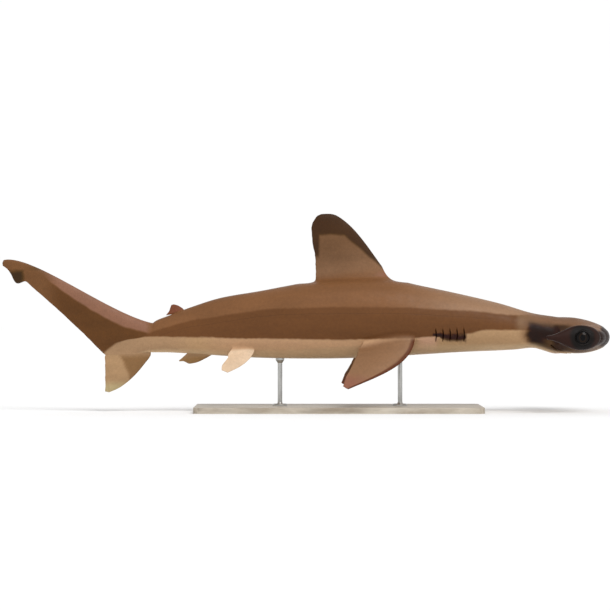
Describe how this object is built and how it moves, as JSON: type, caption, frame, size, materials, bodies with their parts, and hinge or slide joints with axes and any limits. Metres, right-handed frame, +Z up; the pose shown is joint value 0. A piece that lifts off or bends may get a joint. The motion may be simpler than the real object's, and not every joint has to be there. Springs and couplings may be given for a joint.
{
  "type": "hammerhead shark display model",
  "caption": "Life-size scalloped hammerhead shark, swimming level, held over a flat plate by slim rods; broad hammer head, tall dorsal fin, long upper tail lobe.",
  "frame": {"origin": "on the floor, under the middle of the shark's length and width", "axes": "+X towards the snout, +Y to the shark's left, +Z up"},
  "size_m": [1.8154, 0.5034, 0.5937],
  "materials": {
    "skin": "fine-grained moist skin, grey-brown back over a warm pale belly",
    "head_skin": "fine-grained skin, dark brown on the ends of the hammer",
    "fin_skin": "fine-grained skin with dark tips and front edges",
    "tail_skin": "fine-grained skin, paler towards the rear edge",
    "pale_skin": "fine-grained pale cream skin",
    "eye": "wet gloss, near black",
    "stand_base": "board painted in satin warm grey",
    "stand_rod": "fine brushed"
  },
  "bodies": {
    "root": {"head": "head_skin", "hammer_lobe_left": "head_skin", "hammer_lobe_right": "head_skin", "gill_region": "skin", "torso": "skin", "tail_stalk": "skin", "caudal_fin_upper": "tail_skin", "caudal_fin_lower": "tail_skin", "dorsal_fin_first": "fin_skin", "dorsal_fin_second": "fin_skin", "anal_fin": "fin_skin", "pectoral_fin_left": "fin_skin", "pectoral_fin_right": "fin_skin", "pelvic_fin_left": "pale_skin", "pelvic_fin_right": "pale_skin", "eye_left": "eye", "eye_right": "eye", "stand_base": "stand_base", "stand_rod_front": "stand_rod", "stand_rod_rear": "stand_rod"}
  },
  "joints": []
}
